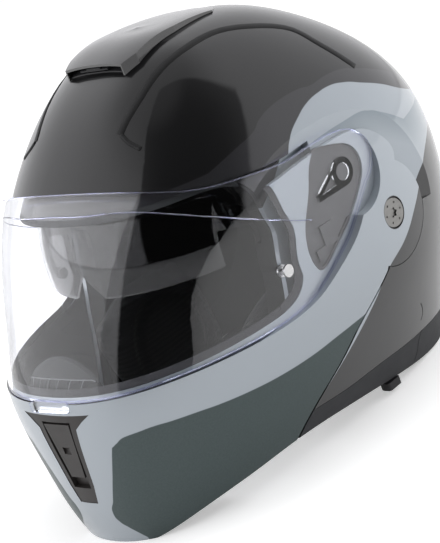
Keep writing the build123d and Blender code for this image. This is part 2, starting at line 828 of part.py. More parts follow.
def make_vent_frame(face):
    body = front_prism(vent_outline(), half_length / 2, 2 * half_length)
    body = body & (form(face_front_shares, fit_gap) - form(face_front_shares, frame_depth))
    body = body & Pos(0, -front_reach, 0) * Box(2 * half_width, front_reach, 2 * height)
    pocket = front_prism(slider_outline(slider_side_gap, slider_travel), front_reach - slider_depth - fit_gap,
                         2 * half_length)
    body = body - pocket
    port = Pos(0, -front_reach, port_z) * Box(port_width, front_reach / 2, port_height)
    return largest(body - port)


def slider_outline(grow=0.0, longer=0.0):
    top = slider_top_z + grow
    low = slider_low_z - grow - longer
    return polygon([(slider_top_half + grow, top), (slider_low_half + grow, low), (-slider_low_half - grow, low),
                    (-slider_top_half - grow, top)])


def make_vent_slider():
    body = front_prism(slider_outline(), front_reach - slider_depth, front_reach - slider_inset)
    relief = Pos(0, -front_reach, (slider_top_z + slider_low_z) / 2) * Rot(0, 90, 0) * Cylinder(
        slider_relief, slider_low_half)
    return body - relief


def make_chin_gasket():
    strip = prism(window_outline(gasket_width - fit_gap / 2)) - prism(window_outline())
    strip = strip & (visor_form(visor_thickness + visor_gap + fit_gap)
                     - visor_form(visor_thickness + visor_gap + gasket_depth))
    strip = (strip & prism(arm_region())) - arm_hollow(gasket_sweep_radius, pocket_floor + fit_gap / 2)
    return largest(strip)


def make_visor():
    body = (visor_form(0.0) - visor_form(visor_thickness)) & prism(visor_outline())
    tab = Pos(0, -front_reach + visor_tab_thickness / 2, visor_tab_z)
    body = body + tab * Box(visor_tab_width, visor_tab_thickness, visor_tab_height)
    pins = both_sides(side_cylinder(pin_stem_radius, 0, half_width, pin_y, pin_z))
    return largest(body - pins)


def make_visor_hinge():
    inner = visor_side - visor_thickness - hinge_height
    outer = visor_side - visor_thickness
    ring_face = side_disc(hinge_ring_radius, visor_pivot_y, visor_pivot_z)
    tip_y = visor_pivot_y - hinge_reach
    arm_face = polygon([(visor_pivot_y, visor_pivot_z + hinge_ring_radius), (tip_y, visor_pivot_z - hinge_drop / 2),
                        (tip_y, visor_pivot_z - hinge_drop), (visor_pivot_y, visor_pivot_z - hinge_ring_radius)])
    window = polygon([(visor_pivot_y - hinge_ring_radius, visor_pivot_z + hinge_web),
                      (tip_y + 2 * hinge_web, visor_pivot_z - hinge_drop / 2 - hinge_web / 2),
                      (visor_pivot_y - hinge_ring_radius, visor_pivot_z - hinge_ring_radius + 2 * hinge_web)])
    body = plate(ring_face + arm_face, inner, outer) - plate(window, inner, outer)
    return body - side_cylinder(hub_radius + fit_gap, 0, 2 * half_width, visor_pivot_y, visor_pivot_z)


def make_pod():
    base = plate(pod_face(), pod_floor, pod_floor + pod_wall)
    rim = plate(pod_face() - pod_face(-pod_rim_width), pod_floor, pod_rim_x)
    swing = side_cylinder(hypot(hinge_reach, hinge_drop) + running_gap, pod_floor + pod_wall, 2 * half_width,
                          visor_pivot_y, visor_pivot_z)
    body = base + (rim - swing)
    body = body + side_cylinder(hub_radius, pod_floor, pod_rim_x, visor_pivot_y, visor_pivot_z)
    for y_share, z_share, wide, tall in pod_block_shares:
        y, z = at(y_share, z_share)
        block = plate(Pos(y, z) * Rectangle(wide * half_length, tall * height), pod_floor, pod_rim_x)
        body = body + (block - swing)
    return body & plate(pod_face(), 0, 2 * half_width)


def make_pins():
    outer_cap = side_cylinder(pin_cap_radius, pin_cap_x, pin_cap_x + pin_cap_thickness, pin_y, pin_z)
    stem = side_cylinder(pin_stem_radius, pin_inner_x, pin_cap_x, pin_y, pin_z)
    inner_cap = side_cylinder(pin_cap_radius, pin_inner_x, pin_inner_x + pin_cap_thickness, pin_y, pin_z)
    return both_sides(outer_cap + stem + inner_cap)


def face_band(outer, inner, low, high, half, front_y):
    """A band behind the chin bar's wall, between two heights."""
    band = form(face_front_shares, outer) - form(face_front_shares, inner)
    middle = (low + high) / 2
    keep = Pos(0, front_y - half_length, middle) * Box(2 * half, 2 * half_length, high - low)
    return band & keep


def striker_face(grow=0.0):
    ear = striker_ear_share * striker_radius
    front_y = striker_y - ear - grow
    back_y = striker_back_y + grow
    back = striker_back_height + grow
    return polygon([(front_y, striker_z - ear - grow), (front_y, striker_z + ear + grow),
                    (back_y, striker_z + back), (back_y, striker_z - back)])


def make_striker():
    """A flat plate with the pin for the hook in front and a boss behind that stands on the shell."""
    middle = striker_inner + striker_plate / 2
    body = plate(striker_face(), striker_inner, striker_inner + striker_plate)
    body = body + side_cylinder(striker_boss_radius, middle, striker_seat, striker_boss_y, striker_z)
    return body + side_cylinder(striker_radius, middle, striker_outer, striker_y, striker_z)


def make_hook():
    lever = polygon([(hook_y - hook_radius, hook_z), (hook_y, hook_z + hook_radius),
                     (striker_y - striker_radius, striker_z + 2 * striker_radius),
                     (striker_y, striker_z - striker_radius), (striker_y - 3 * striker_radius, striker_z
                                                                - 2 * striker_radius)])
    face = lever + side_disc(hook_radius, hook_y, hook_z)
    body = plate(face, striker_inner + striker_plate + running_gap, striker_outer)
    body = body & form(face_front_shares, chin_wall + running_gap)
    clear = side_cylinder(striker_radius + running_gap, 0, half_width, striker_y, striker_z)
    body = body - clear
    path = Plane.YZ.offset(0) * (side_disc(hook_path_radius + striker_radius + running_gap, chin_pivot_y, chin_pivot_z)
                                 - side_disc(hook_path_radius - striker_radius - running_gap, chin_pivot_y,
                                             chin_pivot_z))
    below = Pos(0, striker_y, striker_z - height / 2) * Box(4 * half_width, 4 * striker_radius + height / 4, height)
    body = body - (extrude(path, amount=half_width) & below)
    bore = side_cylinder(hook_pin_radius + shaft_gap, 0, half_width, hook_y, hook_z)
    return largest(body - bore)


def make_hook_bracket():
    boss = side_cylinder(hook_radius, striker_outer + fit_gap, bracket_outer, hook_y, hook_z)
    boss = boss & form(face_front_shares, chin_wall + fit_gap / 2)
    pin = side_cylinder(hook_pin_radius, striker_inner + striker_plate, striker_outer + 2 * fit_gap, hook_y, hook_z)
    return boss + pin


def strap_run(points, thickness, width):
    """A webbing run: a flat strip that follows a filleted line in the XZ plane."""
    path = FilletPolyline(*points, radius=strap_bend)
    start = path @ 0
    heading = path % 0
    section = Plane(origin=start, x_dir=(0, 1, 0), z_dir=heading) * Rectangle(width, thickness)
    return sweep(section, path=path)


def make_strap_anchor():
    block = Pos(anchor_x, strap_y, anchor_z) * Box(2 * anchor_reach, strap_width, anchor_height)
    return block & form(shell_front_shares, shell_wall + fit_gap / 2)


def make_strap():
    points = [(strap_top_x, 0, strap_top_z), (strap_turn_x, 0, strap_turn_z), (strap_knee_x, 0, strap_z),
              (buckle_end_x + fit_gap, 0, strap_z)]
    return Pos(0, strap_y, 0) * strap_run(points, strap_thickness, strap_width)


def make_right_strap():
    points = [(-strap_top_x, 0, strap_top_z), (-strap_turn_x, 0, strap_turn_z), (-strap_knee_x, 0, strap_z),
              (tongue_start_x - fit_gap, 0, strap_z)]
    return Pos(0, strap_y, 0) * strap_run(points, strap_thickness, strap_width)


def make_buckle():
    middle = (buckle_end_x + buckle_start_x) / 2
    length = buckle_end_x - buckle_start_x
    base_z = strap_z - strap_thickness / 2 - fit_gap - buckle_wall / 2
    body = Pos(middle, strap_y, base_z) * Box(length, buckle_width, buckle_wall)
    for side in (-1, 1):
        wall_y = strap_y + side * (buckle_width - buckle_wall) / 2
        body = body + Pos(middle, wall_y, base_z + buckle_height / 2) * Box(length, buckle_wall, buckle_height)
    pin = Pos(lever_pin_x, strap_y, lever_pin_z) * Rot(90, 0, 0) * Cylinder(lever_pin_radius, buckle_width)
    return body + pin


def make_buckle_lever():
    length = lever_pin_x - buckle_start_x
    width = buckle_width - 2 * buckle_wall - 2 * fit_gap
    body = Pos(lever_pin_x - length / 2, strap_y, lever_pin_z) * Box(length, width, lever_thickness)
    hub = Pos(lever_pin_x, strap_y, lever_pin_z) * Rot(90, 0, 0) * Cylinder(lever_thickness / 2, width)
    body = body + hub
    bore = Pos(lever_pin_x, strap_y, lever_pin_z) * Rot(90, 0, 0) * Cylinder(lever_pin_radius + shaft_gap,
                                                                              2 * buckle_width)
    return body - bore


def make_tongue():
    length = tongue_end_x - tongue_start_x
    tongue = Pos((tongue_start_x + tongue_end_x) / 2, strap_y, strap_z) * Box(length, tongue_width, strap_thickness)
    for step in range(tongue_teeth):
        place = tongue_end_x - (step + 1) * tongue_pitch
        groove = Pos(place, strap_y, strap_z + strap_thickness / 2)
        tongue = tongue - groove * Box(tongue_pitch / 2, 2 * tongue_width, strap_thickness / 2)
    return tongue


def make_sun_slider():
    knob = Pos(knob_x, knob_y, knob_z) * Box(knob_width, knob_length, knob_height)
    knob = fillet(knob.edges().filter_by(Axis.Z), knob_width / 4)
    stem = Pos(stem_x, knob_y, knob_z - knob_height / 2 + stem_height / 2)
    return knob + stem * Box(stem_width, knob_length - 2 * running_gap, stem_height)


def make_release_housing():
    block = Pos(0, button_y, button_z) * Box(housing_width, housing_depth, housing_height)
    block = block & form(face_front_shares, chin_wall + fit_gap / 2)
    pocket = Pos(0, button_y, button_z - housing_wall)
    return block - pocket * Box(button_width + 2 * running_gap, button_depth + 2 * running_gap, housing_height)


def make_release_button():
    low = button_z - housing_height / 2 - button_proud
    return Pos(0, button_y, low + button_height / 2) * Box(button_width, button_depth, button_height)


def make_chin_liner():
    band = face_band(chin_wall + fit_gap, chin_liner_depth, chin_liner_low, chin_liner_high, chin_liner_half,
                     chin_liner_front)
    behind = front_prism(vent_outline(running_gap), half_length / 2, 2 * half_length)
    return band - (behind - form(face_front_shares, frame_depth + fit_gap))


def make_deflector():
    low = chin_liner_high + fit_gap
    band = face_band(gasket_back, gasket_back + deflector_thickness, low, 2 * height, half_width, -half_length / 2)
    arch = Pos(0, low) * Ellipse(deflector_half, deflector_height)
    return band & front_prism(arch, half_length / 2, 2 * half_length)


os.makedirs("parts", exist_ok=True)

# The helmet's fixed body
band = make_shell_band()
write("outer_shell", make_shell(band))
write("shell_edge_trim", make_edge_trim(band))
for place, shape in liner_parts().items():
    write("impact_liner_" + place, shape)
write("crown_pad", make_crown_pad())
cheek_pad = make_cheek_pad()
write("cheek_pad_left", cheek_pad)
write("cheek_pad_right", other_side(cheek_pad))
write("neck_roll", make_neck_roll())
write("brow_gasket", make_brow_gasket())
write("crown_vent_hood", make_hood())
write("crown_vent_base", make_hood_base())
write("rear_exhaust_vent", make_rear_vent())
write("sun_visor_axles", make_sun_axles())
fixed_pairs = {
    "pivot_plate": make_pivot_plate(),
    "pivot_screw": make_pivot_screw(),
    "latch_striker": make_striker(),
    "strap_anchor": make_strap_anchor(),
}
write("chin_strap_left", make_strap())
write("chin_strap_right", make_right_strap())
write("buckle_body", make_buckle())
write("strap_tongue", make_tongue())

# The chin bar and what it carries
face = form(face_front_shares, 0.0)
write("chin_bar_shell", make_chin_shell(face))
write("chin_bar_liner", make_chin_liner())
write("chin_bar_gasket", make_chin_gasket())
write("chin_vent_frame", make_vent_frame(face))
write("breath_deflector", make_deflector())
write("chin_curtain", face_band(chin_wall + fit_gap, curtain_depth, curtain_low, curtain_low + curtain_thickness,
                                chin_liner_half, chin_liner_front))
write("release_housing", make_release_housing())
chin_pairs = {
    "pivot_bush": make_bush(),
    "visor_mechanism": make_pod(),
    "latch_bracket": make_hook_bracket(),
}

# The visor and what turns with it
write("visor_shield", make_visor())
write("anti_fog_pins", make_pins())
visor_pairs = {"visor_hinge": make_visor_hinge()}

# The small moving parts
write("sun_visor", make_sun_visor())
write("sun_visor_slider", make_sun_slider())
write("crown_vent_shutter", make_vent_shutter())
write("chin_vent_slider", make_vent_slider())
write("release_button", make_release_button())
write("buckle_lever", make_buckle_lever())
moving_pairs = {"latch_hook": make_hook()}

for pairs in (fixed_pairs, chin_pairs, visor_pairs, moving_pairs):
    for name, shape in pairs.items():
        write(name + "_left", shape)
        write(name + "_right", other_side(shape))
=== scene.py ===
"""A modular motorcycle helmet, dressed for its photograph. Metres, +Z up, face toward -Y."""

from math import cos, radians, sin

import bmesh
import bpy
from mathutils import Matrix, Vector
from mathutils.bvhtree import BVHTree


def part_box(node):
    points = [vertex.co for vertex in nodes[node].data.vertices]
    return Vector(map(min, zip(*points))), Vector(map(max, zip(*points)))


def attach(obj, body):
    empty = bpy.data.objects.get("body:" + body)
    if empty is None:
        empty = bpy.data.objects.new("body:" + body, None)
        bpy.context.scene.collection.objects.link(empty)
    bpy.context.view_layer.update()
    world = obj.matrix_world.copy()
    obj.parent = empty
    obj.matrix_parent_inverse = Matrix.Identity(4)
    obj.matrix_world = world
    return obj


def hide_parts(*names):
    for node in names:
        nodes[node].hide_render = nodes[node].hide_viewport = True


MM = 0.001
WELD = 0.00002
HEAD_MIDDLE = (0.0, 0.0, 0.120)
INWARD_EDGE = -0.012
INWARD_WIDTH = 0.004

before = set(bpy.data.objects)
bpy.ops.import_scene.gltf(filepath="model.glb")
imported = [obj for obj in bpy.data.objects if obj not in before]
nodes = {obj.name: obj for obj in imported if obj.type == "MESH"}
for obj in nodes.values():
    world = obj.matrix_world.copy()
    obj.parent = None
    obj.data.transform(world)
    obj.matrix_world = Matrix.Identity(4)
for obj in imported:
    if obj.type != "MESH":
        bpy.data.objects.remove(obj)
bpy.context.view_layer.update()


# Node trees

class Graph:
    """The node tree of a material or a world, with short ways to add and join nodes."""

    def __init__(self, owner, output="ShaderNodeOutputMaterial", coordinates="Object"):
        self.material = owner
        owner.use_nodes = True
        self.tree = owner.node_tree
        self.tree.nodes.clear()
        self.output = self.add(output)
        self.coordinates = self.add("ShaderNodeTexCoord").outputs[coordinates]

    def add(self, kind, inputs=None, **settings):
        node = self.tree.nodes.new(kind)
        for key, value in settings.items():
            setattr(node, key, value)
        for key, value in (inputs or {}).items():
            self.put(node.inputs[key], value)
        return node

    def put(self, socket, value):
        if isinstance(value, bpy.types.NodeSocket):
            self.tree.links.new(value, socket)
        else:
            socket.default_value = value

    def maths(self, operation, first, second=0.0):
        return self.add("ShaderNodeMath", {0: first, 1: second}, operation=operation).outputs[0]

    def both(self, first, second):
        return self.maths("MULTIPLY", first, second)

    def squared(self, value, middle):
        return self.maths("POWER", self.maths("SUBTRACT", value, middle), 2.0)

    def mix(self, factor, first, second):
        """The colour between two colours. Sockets 6 and 7 of the Mix node take colours, and 2 gives one."""
        node = self.add("ShaderNodeMix", {"Factor": factor}, data_type="RGBA")
        self.put(node.inputs[6], first)
        self.put(node.inputs[7], second)
        return node.outputs[2]

    def axes(self):
        parts = self.add("ShaderNodeSeparateXYZ", {"Vector": self.coordinates})
        return parts.outputs["X"], parts.outputs["Y"], parts.outputs["Z"]

    def noise(self, scale, detail=2.0, stretch=None):
        vector = self.coordinates
        if stretch:
            vector = self.add("ShaderNodeMapping", {"Vector": vector, "Scale": stretch}).outputs[0]
        return self.add("ShaderNodeTexNoise", {"Vector": vector, "Scale": scale, "Detail": detail}).outputs[0]

    def wave(self, scale, direction):
        return self.add("ShaderNodeTexWave", {"Vector": self.coordinates, "Scale": scale, "Distortion": 0.6},
                        bands_direction=direction).outputs[1]

    def spread(self, value, low, high):
        """The value's range from 0 to 1, changed to run from low to high."""
        return self.add("ShaderNodeMapRange", {"Value": value, "To Min": low, "To Max": high}).outputs[0]

    def step(self, value, edge, width=0.0003):
        """0 below the edge and 1 above it, with a soft width."""
        ends = {"Value": value, "From Min": edge - width, "From Max": edge + width}
        return self.add("ShaderNodeMapRange", ends, interpolation_type="SMOOTHSTEP").outputs[0]

    def profile(self, along, points):
        """A smooth height over a place, through points in millimetres."""
        places = [place for place, height in points]
        heights = [height for place, height in points]
        first, last = places[0], places[-1]
        low, high = min(heights), max(heights)
        ends = {"Value": along, "From Min": first * MM, "From Max": last * MM}
        share = self.add("ShaderNodeMapRange", ends).outputs[0]
        curve = self.add("ShaderNodeFloatCurve", {"Value": share})
        line = curve.mapping.curves[0]
        for index, (place, height) in enumerate(points):
            x = (place - first) / (last - first)
            y = (height - low) / (high - low)
            if index == 0:
                line.points[0].location = (x, y)
            elif index == len(points) - 1:
                line.points[-1].location = (x, y)
            else:
                line.points.new(x, y)
        curve.mapping.update()
        return self.spread(curve.outputs[0], low * MM, high * MM)

    def over(self, value, border, width=0.0003):
        """1 where the value is over a border that varies."""
        return self.step(self.maths("SUBTRACT", value, border), 0.0, width)

    def bump(self, height, distance, strength=1.0):
        inputs = {"Height": height, "Distance": distance, "Strength": strength}
        return self.add("ShaderNodeBump", inputs).outputs[0]

    def inward(self):
        """1 on faces that look toward the wearer's head."""
        facing = self.add("ShaderNodeNewGeometry").outputs["Normal"]
        away = self.add("ShaderNodeVectorMath", {0: self.coordinates, 1: HEAD_MIDDLE}, operation="SUBTRACT")
        along = self.add("ShaderNodeVectorMath", {0: facing, 1: away.outputs[0]}, operation="DOT_PRODUCT")
        return self.maths("SUBTRACT", 1.0, self.step(along.outputs["Value"], INWARD_EDGE, INWARD_WIDTH))

    def surface(self, colour, roughness, normal=None, **settings):
        shader = self.add("ShaderNodeBsdfPrincipled", {"Base Color": colour, "Roughness": roughness})
        for key, value in settings.items():
            self.put(shader.inputs[key.replace("_", " ")], value)
        if normal:
            self.put(shader.inputs["Normal"], normal)
        self.put(self.output.inputs["Surface"], shader.outputs[0])
        return shader


def dress(material, *names):
    """Gives CAD nodes a material."""
    for name in names:
        piece = nodes[name]
        piece.data.materials.clear()
        piece.data.materials.append(material)
        for slot in piece.material_slots:
            slot.link = "OBJECT"
            slot.material = material


def tone(red, green, blue):
    return (red, green, blue, 1.0)


def scaled(colour, factor, extra=0.0):
    """The colour made lighter or darker, no part of it over 1."""
    return tone(*(min(1.0, factor * part + extra) for part in colour[:3]))


# Borders of the paint, in millimetres: place along the helmet, then height

LIGHT_TOP = ((-60, 150), (-30, 166), (-11, 180.5), (-2, 191.5), (12.5, 198), (25, 201.5), (35, 202.5),
             (48.5, 202), (62, 198.5), (76, 192), (94, 183), (111, 173), (130, 164), (150, 156), (170, 148))
TONE_TOP = ((-60, 196), (-38, 201), (-21.5, 204), (-12, 208), (1, 210.5), (14, 211), (27.5, 210), (37, 208),
            (52, 207.5), (68, 205), (81, 200), (107, 187.5), (120, 180), (150, 166), (170, 157))
LIGHT_LOW = ((-40, 40), (12, 74), (27, 86), (50, 96), (70, 110), (91, 125), (114, 136), (140, 141),
             (170, 144))
# POCKET_CREASE is the crease line under which painted shade darkens the light band.
POCKET_CREASE = ((-60, 176), (-7, 179.5), (9, 180), (18, 181), (45, 180.5), (56, 180), (66, 177), (75, 172),
                 (95, 158))
PANEL_TOP = ((-165, 64), (-162, 68.5), (-160.5, 71), (-157.5, 74), (-152, 75), (-147, 75.5), (-140.5, 75),
             (-127, 74), (-115, 72.5), (-95, 70.5), (-74, 69), (-50, 68.5), (-24, 69.5), (0, 70))
PANEL_FRONT = ((2, 29), (6.5, 26), (11.5, 22), (16.5, 18), (21, 16.5), (32, 21.5), (52, 31), (68.5, 38.5),
               (78, 43))

ANTHRACITE = tone(0.004, 0.004, 0.0045)
GREY_TONE = tone(0.022, 0.022, 0.025)
LIGHT = tone(0.38, 0.42, 0.46)
# Painted shade: the light band's colour just under the side pocket's crease.
CREASE_SHADE_TONE = tone(0.23, 0.275, 0.31)
PANEL = tone(0.030, 0.050, 0.050)
PANEL_FLECK = tone(0.075, 0.105, 0.108)
INNER = tone(0.008, 0.008, 0.008)
FLAKE = tone(0.5, 0.5, 0.52)
WHITE = tone(1.0, 1.0, 1.0)

# Places on the helmet, in metres

PIVOT = (0.047, 0.116)
RING_RADIUS = 0.0104
RING_INNER = 0.1
ARM_INNER = 0.1053
ARM_FRONT = 0.030
REAR_TONE_LOW = 0.2
# How far under the pocket crease the painted shade fades out, in metres.
CREASE_SHADE_FADE = 0.020

# How fine the grains, waves and clouds of the materials are

FLAKE_SCALE = 2600.0
PEEL_SCALE = 160.0
FLECK_SCALE = 900.0
WEAR_SCALE = 45.0
DULL_SCALE = 120.0
GRAIN_SCALE = 2200.0
BRUSH_SCALE = 900.0
BRUSH_STRETCH = (1.0, 0.15, 1.0)
CLOUD_SCALE = 60.0
RIB_SCALE = 95.0
SCRATCH_SCALE = 420.0


def paint(name, pattern):
    """Metallic lacquer: a coloured flake coat under clear gloss. pattern gives the colour."""
    graph = Graph(bpy.data.materials.new(name))
    x, y, z = graph.axes()
    side = graph.maths("ABSOLUTE", x)
    colour, dull, gloss = pattern(graph, side, y, z)
    flake = graph.noise(FLAKE_SCALE, 0.0)
    colour = graph.mix(graph.spread(flake, 0.0, 0.012), colour, FLAKE)
    colour = graph.mix(graph.both(graph.inward(), graph.over(ARM_INNER, side)), colour, INNER)
    peel = graph.bump(graph.noise(PEEL_SCALE, 1.0), 0.00002, 0.3)
    graph.surface(colour, dull, peel, Metallic=0.35, Coat_Weight=gloss, Coat_Roughness=0.03)
    return graph.material


def shell_pattern(graph, side, y, z):
    """Dark lacquer with a greyer tone and a light band, with painted shade under the crease of the side
    pocket.
    """
    colour = graph.mix(graph.over(graph.profile(y, TONE_TOP), z), ANTHRACITE, GREY_TONE)
    above_low = graph.over(z, graph.profile(y, LIGHT_LOW))
    under_top = graph.over(graph.profile(y, LIGHT_TOP), z)
    behind_low = graph.maths("SUBTRACT", 1.0, above_low)
    colour = graph.mix(graph.both(behind_low, graph.over(REAR_TONE_LOW, z)), colour, ANTHRACITE)
    band = graph.both(above_low, under_top)
    # Painted shade: under the pocket crease the light band darkens, fading back to the light paint further
    # down.
    below = graph.maths("SUBTRACT", graph.profile(y, POCKET_CREASE), z)
    ends = {"Value": below, "From Max": CREASE_SHADE_FADE, "To Min": 1.0, "To Max": 0.0}
    crease_shade_fading = graph.add("ShaderNodeMapRange", ends).outputs[0]
    crease_shade_mask = graph.both(graph.step(below, 0.0), crease_shade_fading)
    light = graph.mix(crease_shade_mask, LIGHT, CREASE_SHADE_TONE)
    colour = graph.mix(band, colour, light)
    return colour, graph.spread(band, 0.34, 0.42), 1.0


def chin_pattern(graph, side, y, z):
    """Light lacquer with a dull dark panel on each side, and dark under the arm and round its screw."""
    under = graph.over(graph.profile(y, PANEL_TOP), z)
    beside = graph.over(side, graph.profile(z, PANEL_FRONT))
    panel = graph.both(under, beside)
    grain = graph.noise(FLECK_SCALE, 2.0)
    dark = graph.mix(graph.spread(grain, 0.0, 0.5), PANEL, PANEL_FLECK)
    colour = graph.mix(panel, LIGHT, dark)
    arm = graph.both(graph.step(y, ARM_FRONT), graph.over(graph.profile(y, LIGHT_LOW), z))
    apart = graph.maths("ADD", graph.squared(y, PIVOT[0]), graph.squared(z, PIVOT[1]))
    from_pivot = graph.maths("POWER", apart, 0.5)
    ring = graph.both(graph.over(RING_RADIUS, from_pivot), graph.step(side, RING_INNER))
    dark_parts = graph.maths("MAXIMUM", arm, ring)
    gloss = graph.spread(panel, 1.0, 0.35)
    return graph.mix(dark_parts, colour, ANTHRACITE), graph.spread(panel, 0.40, 0.46), gloss


def plastic(name, colour, roughness, grain=0.00006, coat=0.0):
    """Moulded plastic with a fine spark-eroded grain and faint wear."""
    graph = Graph(bpy.data.materials.new(name))
    wear = graph.spread(graph.noise(WEAR_SCALE, 3.0), 0.0, 0.35)
    worn = graph.mix(wear, colour, scaled(colour, 1.6, 0.002))
    rough = graph.spread(graph.noise(DULL_SCALE, 2.0), roughness - 0.05, roughness + 0.08)
    normal = graph.bump(graph.noise(GRAIN_SCALE, 1.0), grain, 0.6)
    graph.surface(worn, rough, normal, Coat_Weight=coat, Coat_Roughness=0.06)
    return graph.material


def metal(name, colour, roughness):
    """Turned or brushed metal."""
    graph = Graph(bpy.data.materials.new(name))
    brushed = graph.noise(BRUSH_SCALE, 2.0, BRUSH_STRETCH)
    rough = graph.spread(brushed, roughness - 0.07, roughness + 0.1)
    streaked = graph.mix(brushed, colour, scaled(colour, 0.8))
    graph.surface(streaked, rough, graph.bump(brushed, 0.00004, 0.4), Metallic=1.0)
    return graph.material


def fabric(name, colour, highlight, pitch=900.0, ribbed=False):
    """A knitted lining: crossed threads with a soft sheen."""
    graph = Graph(bpy.data.materials.new(name))
    warp = graph.wave(pitch, "Y")
    weft = graph.wave(pitch, "Z")
    knit = graph.maths("MAXIMUM", warp, weft)
    if ribbed:
        knit = graph.maths("ADD", knit, graph.both(graph.wave(RIB_SCALE, "Z"), 2.0))
    cloudy = graph.spread(graph.noise(CLOUD_SCALE, 3.0), 0.0, 0.6)
    shade = graph.mix(cloudy, colour, highlight)
    shade = graph.mix(graph.spread(knit, 0.0, 0.35), shade, scaled(colour, 0.45))
    graph.surface(shade, 0.92, graph.bump(knit, 0.00018, 0.7), Sheen_Weight=0.12, Sheen_Roughness=0.5)
    return graph.material


def clear(name, colour, roughness, shadow, index=1.06, coat=1.0):
    """A thin clear sheet. Lamps shine through it onto what is behind."""
    graph = Graph(bpy.data.materials.new(name))
    scratches = graph.noise(SCRATCH_SCALE, 4.0)
    shader = graph.surface(graph.mix(graph.spread(scratches, 0.0, 0.05), colour, WHITE),
                           graph.spread(scratches, roughness, roughness + 0.01),
                           Transmission_Weight=1.0, IOR=index,
                           Coat_Weight=coat, Coat_IOR=1.5, Coat_Roughness=0.01)
    through = graph.add("ShaderNodeBsdfTransparent", {"Color": shadow})
    is_shadow = graph.add("ShaderNodeLightPath").outputs["Is Shadow Ray"]
    both = graph.add("ShaderNodeMixShader", {0: is_shadow, 1: shader.outputs[0], 2: through.outputs[0]})
    graph.put(graph.output.inputs["Surface"], both.outputs[0])
    return graph.material


shell_paint = paint("shell_paint", shell_pattern)
chin_paint = paint("chin_paint", chin_pattern)
gloss_black = plastic("gloss_black", tone(0.010, 0.010, 0.011), 0.18, 0.00001, 1.0)
trim_grey = plastic("trim_grey", tone(0.022, 0.023, 0.026), 0.62)
black_plastic = plastic("black_plastic", tone(0.020, 0.020, 0.022), 0.5)
brown_black = plastic("brown_black", tone(0.022, 0.019, 0.018), 0.42)
pod_grey = plastic("pod_grey", tone(0.075, 0.074, 0.078), 0.45, 0.00003)
red_plastic = plastic("red_plastic", tone(0.42, 0.018, 0.012), 0.35, 0.00002, 0.5)
seal_rubber = plastic("seal_rubber", tone(0.055, 0.055, 0.060), 0.75, 0.00009)
soft_rubber = plastic("soft_rubber", tone(0.028, 0.030, 0.032), 0.7, 0.00009)
foam = plastic("foam", tone(0.005, 0.005, 0.005), 0.9, 0.0003)
steel = metal("steel", tone(0.48, 0.48, 0.47), 0.32)
dark_steel = metal("dark_steel", tone(0.30, 0.295, 0.285), 0.34)
silver = metal("silver", tone(0.72, 0.72, 0.72), 0.28)
lining = fabric("lining", tone(0.016, 0.016, 0.018), tone(0.035, 0.036, 0.039))
ribbed_lining = fabric("ribbed_lining", tone(0.014, 0.014, 0.015), tone(0.034, 0.035, 0.037), 700.0, True)
webbing = fabric("webbing", tone(0.012, 0.012, 0.013), tone(0.03, 0.03, 0.032), 520.0)
visor_clear = clear("visor_clear", tone(0.975, 0.98, 1.0), 0.0, tone(0.93, 0.94, 0.96))
hinge_clear = clear("hinge_clear", tone(0.86, 0.88, 0.90), 0.06, tone(0.8, 0.8, 0.8), 1.3)
smoke = clear("smoke", tone(0.13, 0.13, 0.135), 0.0, tone(0.35, 0.35, 0.36))

LEFT_RIGHT = ("_left", "_right")


def pair(name):
    return [name + side for side in LEFT_RIGHT]


dress(shell_paint, "outer_shell")
dress(chin_paint, "chin_bar_shell")
dress(trim_grey, "shell_edge_trim", "rear_exhaust_vent")
dress(gloss_black, "crown_vent_hood")
dress(black_plastic, "crown_vent_base", "crown_vent_shutter", "release_housing", "sun_visor_slider",
      "buckle_body", "strap_tongue", *pair("pivot_bush"))
dress(brown_black, "chin_vent_frame", "chin_vent_slider")
dress(pod_grey, *pair("visor_mechanism"))
dress(red_plastic, "release_button", "buckle_lever")
dress(seal_rubber, "chin_bar_gasket")
dress(soft_rubber, "brow_gasket", "breath_deflector")
dress(foam, "impact_liner_crown", *pair("impact_liner"))
dress(steel, "sun_visor_axles", *pair("pivot_plate"), *pair("latch_striker"), *pair("latch_bracket"),
      *pair("latch_hook"), *pair("strap_anchor"))
dress(dark_steel, *pair("pivot_screw"))
dress(silver, "anti_fog_pins")
dress(visor_clear, "visor_shield")
dress(hinge_clear, *pair("visor_hinge"))
dress(smoke, "sun_visor")


# Soft pieces: each starts from its closed solid, puffs up as cloth and then gets its seams

CLOTH_PRESSURE = 4.0
CLOTH_LAST_FRAME = 15
BOX_ALLOWANCE = 0.001


def copy_of(node, name):
    """A new object with a node's shape."""
    piece = bpy.data.objects.new(name, nodes[node].data.copy())
    piece.data.materials.clear()
    bpy.context.scene.collection.objects.link(piece)
    work = bmesh.new()
    work.from_mesh(piece.data)
    bmesh.ops.remove_doubles(work, verts=work.verts, dist=WELD)
    work.to_mesh(piece.data)
    work.free()
    return piece


def applied(piece):
    """The piece's mesh with its modifiers applied."""
    graph = bpy.context.evaluated_depsgraph_get()
    mesh = bpy.data.meshes.new_from_object(piece.evaluated_get(graph))
    piece.modifiers.clear()
    piece.data = mesh
    return piece


def remeshed(piece, voxel):
    step = piece.modifiers.new("remesh", "REMESH")
    step.mode = "VOXEL"
    step.voxel_size = voxel
    return applied(piece)


def puffed(piece, cap):
    """Swells the piece as sewn cloth under pressure, no point moving further than the cap."""
    start = [vertex.co.copy() for vertex in piece.data.vertices]
    cloth = piece.modifiers.new("cloth", "CLOTH")
    cloth.settings.use_pressure = True
    cloth.settings.uniform_pressure_force = CLOTH_PRESSURE
    cloth.settings.effector_weights.gravity = 0.0
    cloth.point_cache.frame_end = CLOTH_LAST_FRAME
    for moment in range(1, CLOTH_LAST_FRAME + 1):
        bpy.context.scene.frame_set(moment)
    applied(piece)
    bpy.context.scene.frame_set(1)
    for vertex, before in zip(piece.data.vertices, start):
        move = vertex.co - before
        if move.length > cap:
            vertex.co = before + move.normalized() * cap
    return piece


